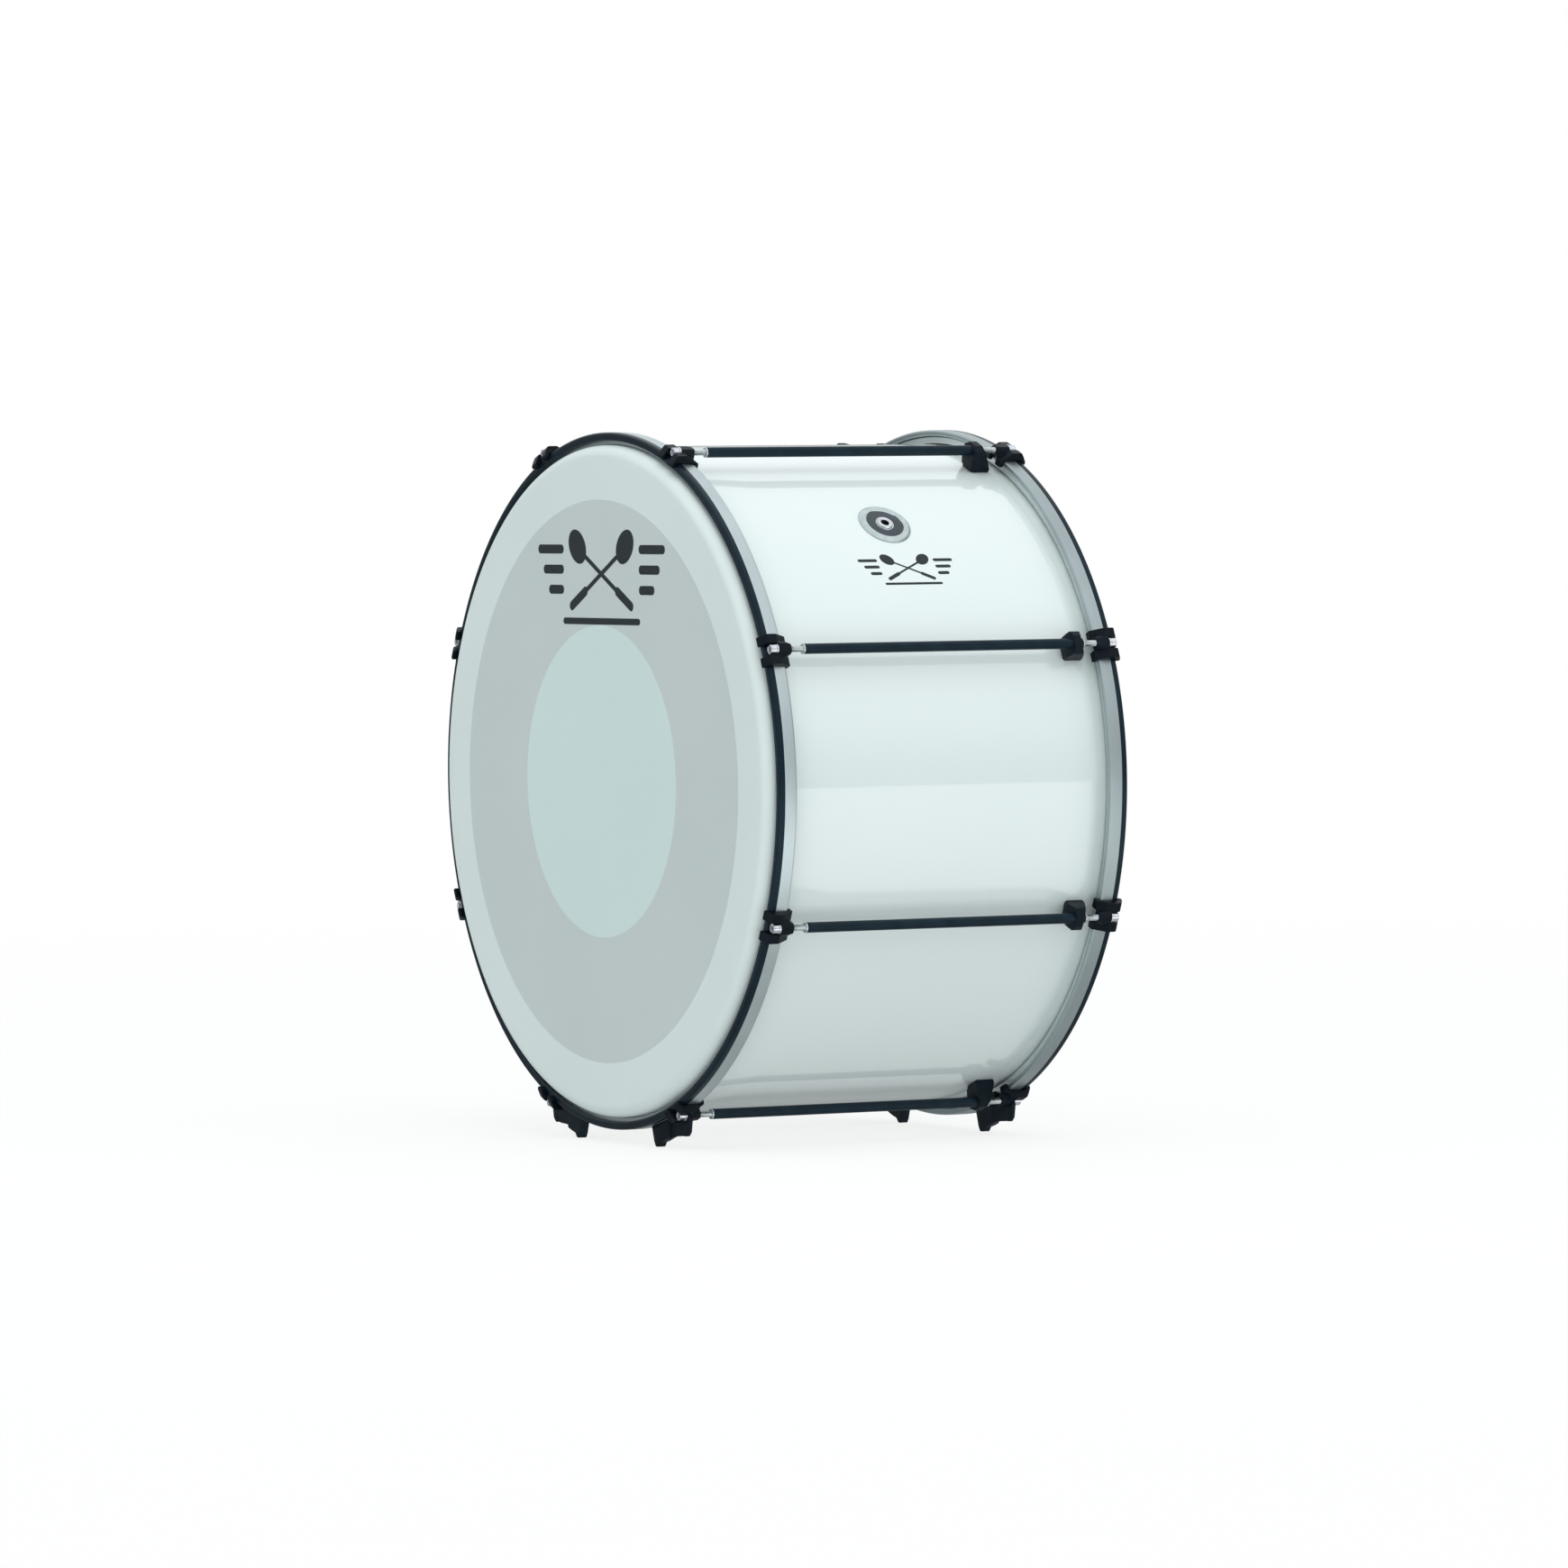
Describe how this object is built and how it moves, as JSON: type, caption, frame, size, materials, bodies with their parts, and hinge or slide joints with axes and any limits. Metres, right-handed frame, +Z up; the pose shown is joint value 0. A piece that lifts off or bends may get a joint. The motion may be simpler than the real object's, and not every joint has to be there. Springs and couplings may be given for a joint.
{
  "type": "marching bass drum",
  "caption": "Deep white marching bass drum: two heads clamped by slim metal hoops, hook claws, tension screws and long through tubes; stands on claw feet.",
  "frame": {"origin": "on the floor under the middle of the shell, where the feet stand, z = 0", "axes": "+Y along the drum axis towards the rear (unprinted) head, printed front head towards -Y, +X to the player's side of the tubes and badge, +Z up"},
  "size_m": [0.6884, 0.408, 0.7012],
  "materials": {
    "shell_lacquer": "high-gloss white lacquered covering over a plywood shell",
    "head_film": "smooth white polyester film with a printed grey ring",
    "hoop_aluminium": "satin-polished aluminium",
    "edging_rubber": "black moulded edging",
    "black_coat": "satin black powder coat",
    "black_plastic": "black moulded plastic",
    "screw_steel": "bright zinc-plated steel",
    "badge_chrome": "chromed metal"
  },
  "bodies": {
    "drum": {"shell": "shell_lacquer", "vent_badge": "badge_chrome", "tension_tube_1": "black_coat", "tension_tube_2": "black_coat", "tension_tube_3": "black_coat", "tension_tube_4": "black_coat", "tension_tube_5": "black_coat", "tension_tube_6": "black_coat", "tension_tube_7": "black_coat", "tension_tube_8": "black_coat", "tube_bracket_1": "black_plastic", "tube_bracket_2": "black_plastic", "tube_bracket_3": "black_plastic", "tube_bracket_4": "black_plastic", "tube_bracket_5": "black_plastic", "tube_bracket_6": "black_plastic", "tube_bracket_7": "black_plastic", "tube_bracket_8": "black_plastic"},
    "front_rim": {"front_head": "head_film", "front_hoop": "hoop_aluminium", "front_hoop_edging": "edging_rubber", "front_claw_1": "black_coat", "front_claw_2": "black_coat", "front_claw_3": "black_coat", "front_claw_4": "black_coat", "front_claw_5": "black_coat", "front_claw_6": "black_coat", "front_claw_7": "black_coat", "front_claw_8": "black_coat", "front_foot_left": "black_plastic", "front_foot_right": "black_plastic"},
    "front_screw_1": {"front_tension_screw_1": "screw_steel"},
    "front_screw_2": {"front_tension_screw_2": "screw_steel"},
    "front_screw_3": {"front_tension_screw_3": "screw_steel"},
    "front_screw_4": {"front_tension_screw_4": "screw_steel"},
    "front_screw_5": {"front_tension_screw_5": "screw_steel"},
    "front_screw_6": {"front_tension_screw_6": "screw_steel"},
    "front_screw_7": {"front_tension_screw_7": "screw_steel"},
    "front_screw_8": {"front_tension_screw_8": "screw_steel"},
    "rear_rim": {"rear_head": "head_film", "rear_hoop": "hoop_aluminium", "rear_hoop_edging": "edging_rubber", "rear_claw_1": "black_coat", "rear_claw_2": "black_coat", "rear_claw_3": "black_coat", "rear_claw_4": "black_coat", "rear_claw_5": "black_coat", "rear_claw_6": "black_coat", "rear_claw_7": "black_coat", "rear_claw_8": "black_coat", "rear_foot_left": "black_plastic", "rear_foot_right": "black_plastic"},
    "rear_screw_1": {"rear_tension_screw_1": "screw_steel"},
    "rear_screw_2": {"rear_tension_screw_2": "screw_steel"},
    "rear_screw_3": {"rear_tension_screw_3": "screw_steel"},
    "rear_screw_4": {"rear_tension_screw_4": "screw_steel"},
    "rear_screw_5": {"rear_tension_screw_5": "screw_steel"},
    "rear_screw_6": {"rear_tension_screw_6": "screw_steel"},
    "rear_screw_7": {"rear_tension_screw_7": "screw_steel"},
    "rear_screw_8": {"rear_tension_screw_8": "screw_steel"}
  },
  "joints": [
    {"name": "front_rim_release", "type": "slide", "parent": "drum", "child": "front_rim", "axis": [0, -1, 0], "range_m": [0, 0.012]},
    {"name": "front_screw_1_turn", "type": "hinge", "parent": "front_rim", "child": "front_screw_1", "pos_m": [0.32336, -0.1855, 0.49094], "axis": [0, -1, 0], "range_deg": [0, 4320]},
    {"name": "front_screw_2_turn", "type": "hinge", "parent": "front_rim", "child": "front_screw_2", "pos_m": [0.13394, -0.1855, 0.68036], "axis": [0, -1, 0], "range_deg": [0, 4320]},
    {"name": "front_screw_3_turn", "type": "hinge", "parent": "front_rim", "child": "front_screw_3", "pos_m": [-0.13394, -0.1855, 0.68036], "axis": [0, -1, 0], "range_deg": [0, 4320]},
    {"name": "front_screw_4_turn", "type": "hinge", "parent": "front_rim", "child": "front_screw_4", "pos_m": [-0.32336, -0.1855, 0.49094], "axis": [0, -1, 0], "range_deg": [0, 4320]},
    {"name": "front_screw_5_turn", "type": "hinge", "parent": "front_rim", "child": "front_screw_5", "pos_m": [-0.32336, -0.1855, 0.22306], "axis": [0, -1, 0], "range_deg": [0, 4320]},
    {"name": "front_screw_6_turn", "type": "hinge", "parent": "front_rim", "child": "front_screw_6", "pos_m": [-0.13394, -0.1855, 0.03364], "axis": [0, -1, 0], "range_deg": [0, 4320]},
    {"name": "front_screw_7_turn", "type": "hinge", "parent": "front_rim", "child": "front_screw_7", "pos_m": [0.13394, -0.1855, 0.03364], "axis": [0, -1, 0], "range_deg": [0, 4320]},
    {"name": "front_screw_8_turn", "type": "hinge", "parent": "front_rim", "child": "front_screw_8", "pos_m": [0.32336, -0.1855, 0.22306], "axis": [0, -1, 0], "range_deg": [0, 4320]},
    {"name": "rear_rim_release", "type": "slide", "parent": "drum", "child": "rear_rim", "axis": [0, 1, 0], "range_m": [0, 0.012]},
    {"name": "rear_screw_1_turn", "type": "hinge", "parent": "rear_rim", "child": "rear_screw_1", "pos_m": [0.32336, 0.1855, 0.49094], "axis": [0, 1, 0], "range_deg": [0, 4320]},
    {"name": "rear_screw_2_turn", "type": "hinge", "parent": "rear_rim", "child": "rear_screw_2", "pos_m": [0.13394, 0.1855, 0.68036], "axis": [0, 1, 0], "range_deg": [0, 4320]},
    {"name": "rear_screw_3_turn", "type": "hinge", "parent": "rear_rim", "child": "rear_screw_3", "pos_m": [-0.13394, 0.1855, 0.68036], "axis": [0, 1, 0], "range_deg": [0, 4320]},
    {"name": "rear_screw_4_turn", "type": "hinge", "parent": "rear_rim", "child": "rear_screw_4", "pos_m": [-0.32336, 0.1855, 0.49094], "axis": [0, 1, 0], "range_deg": [0, 4320]},
    {"name": "rear_screw_5_turn", "type": "hinge", "parent": "rear_rim", "child": "rear_screw_5", "pos_m": [-0.32336, 0.1855, 0.22306], "axis": [0, 1, 0], "range_deg": [0, 4320]},
    {"name": "rear_screw_6_turn", "type": "hinge", "parent": "rear_rim", "child": "rear_screw_6", "pos_m": [-0.13394, 0.1855, 0.03364], "axis": [0, 1, 0], "range_deg": [0, 4320]},
    {"name": "rear_screw_7_turn", "type": "hinge", "parent": "rear_rim", "child": "rear_screw_7", "pos_m": [0.13394, 0.1855, 0.03364], "axis": [0, 1, 0], "range_deg": [0, 4320]},
    {"name": "rear_screw_8_turn", "type": "hinge", "parent": "rear_rim", "child": "rear_screw_8", "pos_m": [0.32336, 0.1855, 0.22306], "axis": [0, 1, 0], "range_deg": [0, 4320]}
  ],
  "couplings": [
    {"joint": "front_screw_1_turn", "follows": "front_rim_release", "rad_per_m": 6283.2},
    {"joint": "front_screw_2_turn", "follows": "front_rim_release", "rad_per_m": 6283.2},
    {"joint": "front_screw_3_turn", "follows": "front_rim_release", "rad_per_m": 6283.2},
    {"joint": "front_screw_4_turn", "follows": "front_rim_release", "rad_per_m": 6283.2},
    {"joint": "front_screw_5_turn", "follows": "front_rim_release", "rad_per_m": 6283.2},
    {"joint": "front_screw_6_turn", "follows": "front_rim_release", "rad_per_m": 6283.2},
    {"joint": "front_screw_7_turn", "follows": "front_rim_release", "rad_per_m": 6283.2},
    {"joint": "front_screw_8_turn", "follows": "front_rim_release", "rad_per_m": 6283.2},
    {"joint": "rear_screw_1_turn", "follows": "rear_rim_release", "rad_per_m": 6283.2},
    {"joint": "rear_screw_2_turn", "follows": "rear_rim_release", "rad_per_m": 6283.2},
    {"joint": "rear_screw_3_turn", "follows": "rear_rim_release", "rad_per_m": 6283.2},
    {"joint": "rear_screw_4_turn", "follows": "rear_rim_release", "rad_per_m": 6283.2},
    {"joint": "rear_screw_5_turn", "follows": "rear_rim_release", "rad_per_m": 6283.2},
    {"joint": "rear_screw_6_turn", "follows": "rear_rim_release", "rad_per_m": 6283.2},
    {"joint": "rear_screw_7_turn", "follows": "rear_rim_release", "rad_per_m": 6283.2},
    {"joint": "rear_screw_8_turn", "follows": "rear_rim_release", "rad_per_m": 6283.2}
  ]
}
